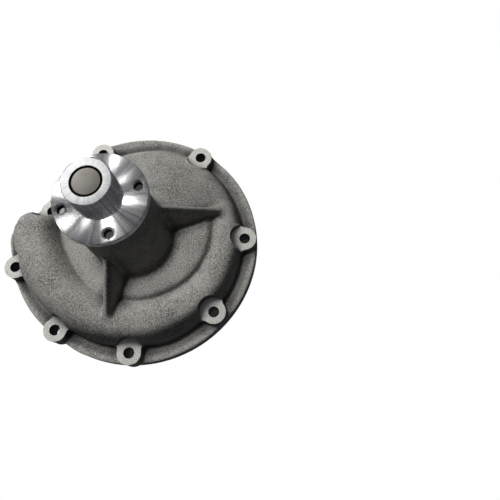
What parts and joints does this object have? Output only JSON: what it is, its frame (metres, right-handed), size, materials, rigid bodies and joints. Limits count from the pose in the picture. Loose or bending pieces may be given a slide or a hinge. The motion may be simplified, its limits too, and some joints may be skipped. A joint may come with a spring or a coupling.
{
  "type": "water pump",
  "caption": "Belt-driven engine coolant pump: cast scroll housing with bosses and ribs, bright fan hub, bearing, seal, impeller and gasket.",
  "frame": {"origin": "on the shaft axis, in the plane of the engine's mounting face (underside of the gasket)", "axes": "+Z along the shaft from the engine towards the fan; -X towards the scroll's throat, +Y away from the scroll's widest sweep"},
  "size_m": [0.2498, 0.2354, 0.1565],
  "materials": {
    "casting": "bare sand-cast grey iron, fine grain",
    "machined_steel": "lathe-turned, bright",
    "shaft_steel": "ground steel",
    "gasket_paper": "dark blue-grey fibre sheet, dull",
    "race_steel": "ground bearing steel",
    "ball_steel": "polished",
    "cage_plastic": "moulded nylon",
    "seal_rubber": "moulded, dull",
    "spring_steel": "drawn wire and phosphated clip",
    "impeller_iron": "cast, edges machined",
    "seal_brass": "pressed brass sheet",
    "seal_carbon": "lapped carbon graphite",
    "seat_ceramic": "lapped ceramic"
  },
  "bodies": {
    "housing": {"pump_body": "casting", "mounting_gasket": "gasket_paper", "bearing_outer_race": "race_steel", "rear_bearing_seal": "seal_rubber", "front_bearing_seal": "seal_rubber", "retaining_ring": "spring_steel", "seal_case": "seal_brass", "seal_bellows": "seal_rubber", "seal_spring": "spring_steel"},
    "rotor": {"shaft": "shaft_steel", "fan_hub": "machined_steel", "slinger": "seal_brass", "impeller": "impeller_iron", "seat_boot": "seal_rubber", "seal_seat": "seat_ceramic"},
    "rear_ball_set": {"rear_balls": "ball_steel", "rear_cage": "cage_plastic"},
    "front_roller_set": {"front_rollers": "ball_steel", "front_cage": "cage_plastic"},
    "seal_head": {"seal_carbon_ring": "seal_carbon", "seal_retainer": "seal_brass"}
  },
  "joints": [
    {"name": "shaft_spin", "type": "hinge", "parent": "housing", "child": "rotor", "pos_m": [0, 0, 0], "axis": [0, 0, 1], "continuous": true},
    {"name": "rear_cage_spin", "type": "hinge", "parent": "housing", "child": "rear_ball_set", "pos_m": [0, 0, 0], "axis": [0, 0, 1], "continuous": true},
    {"name": "front_cage_spin", "type": "hinge", "parent": "housing", "child": "front_roller_set", "pos_m": [0, 0, 0], "axis": [0, 0, 1], "continuous": true},
    {"name": "seal_float", "type": "slide", "parent": "housing", "child": "seal_head", "axis": [0, 0, 1], "range_m": [0, 0.0008], "stiffness_N_per_m": 2000, "springref_m": -0.006, "deforming": ["seal_bellows", "seal_spring"]}
  ],
  "couplings": [
    {"joint": "rear_cage_spin", "follows": "shaft_spin", "ratio": 0.3536},
    {"joint": "front_cage_spin", "follows": "shaft_spin", "ratio": 0.3924}
  ]
}
